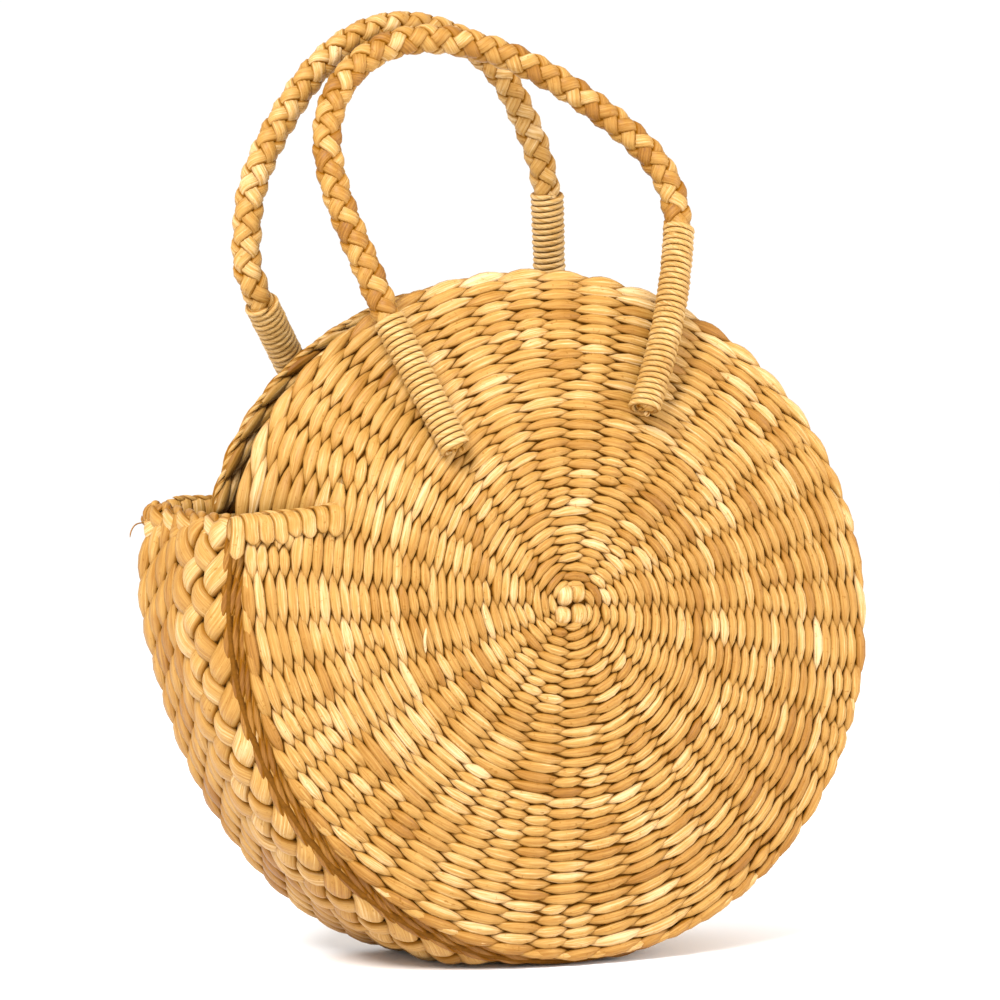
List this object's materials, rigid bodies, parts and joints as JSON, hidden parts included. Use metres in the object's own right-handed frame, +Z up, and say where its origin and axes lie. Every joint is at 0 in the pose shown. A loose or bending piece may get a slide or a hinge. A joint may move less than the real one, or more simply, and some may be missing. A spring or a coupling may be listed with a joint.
{
  "type": "circle bag",
  "caption": "Round straw tote bag with domed spiral-woven sides, a gusset with a flat braid, an open mouth and rope handles sewn on under wound cord.",
  "frame": {"origin": "on the floor, under the middle of the bag, on the flat of its gusset", "axes": "+X to the right along the mouth seen from the front, +Y from the front panel to the back panel, +Z up"},
  "size_m": [0.3906, 0.1416, 0.5183],
  "materials": {
    "woven_panel": "dry twined plant strand, warm straw with brown streaks",
    "gusset_weave": "dry twined plant strand, a little browner",
    "flat_braid": "flat plaited plant ribbons, soft sheen",
    "bound_edge": "edge bound with plant strand",
    "braided_rope": "round braid of plant strand",
    "winding_cord": "thin twisted cord, tightly wound"
  },
  "bodies": {
    "bag_body": {"gusset_strip": "gusset_weave", "gusset_braid": "flat_braid", "gusset_hem_left": "bound_edge", "gusset_hem_right": "bound_edge", "front_panel_lower": "woven_panel", "front_slit_hem": "bound_edge", "back_panel_lower": "woven_panel", "back_slit_hem": "bound_edge"},
    "front_flap": {"front_panel_upper": "woven_panel", "front_mouth_border": "bound_edge", "front_left_handle_end": "braided_rope", "front_left_handle_wrap": "winding_cord", "front_right_handle_end": "braided_rope", "front_right_handle_wrap": "winding_cord"},
    "back_flap": {"back_panel_upper": "woven_panel", "back_mouth_border": "bound_edge", "back_left_handle_end": "braided_rope", "back_left_handle_wrap": "winding_cord", "back_right_handle_end": "braided_rope", "back_right_handle_wrap": "winding_cord"},
    "front_handle_loop": {"front_handle": "braided_rope"},
    "back_handle_loop": {"back_handle": "braided_rope"}
  },
  "joints": [
    {"name": "front_mouth_bend", "type": "hinge", "parent": "bag_body", "child": "front_flap", "pos_m": [0, -0.067, 0.2504], "axis": [1, 0, 0], "range_deg": [0, 18]},
    {"name": "back_mouth_bend", "type": "hinge", "parent": "bag_body", "child": "back_flap", "pos_m": [0, 0.067, 0.2504], "axis": [-1, 0, 0], "range_deg": [0, 18]},
    {"name": "front_handle_swing", "type": "hinge", "parent": "front_flap", "child": "front_handle_loop", "pos_m": [-0.09372, -0.03748, 0.35054], "axis": [0.9557, 0.001, 0.2944], "range_deg": [0, 65]},
    {"name": "back_handle_swing", "type": "hinge", "parent": "back_flap", "child": "back_handle_loop", "pos_m": [0.03117, 0.02524, 0.42662], "axis": [-0.9335, -0.0713, -0.3515], "range_deg": [0, 50]}
  ]
}
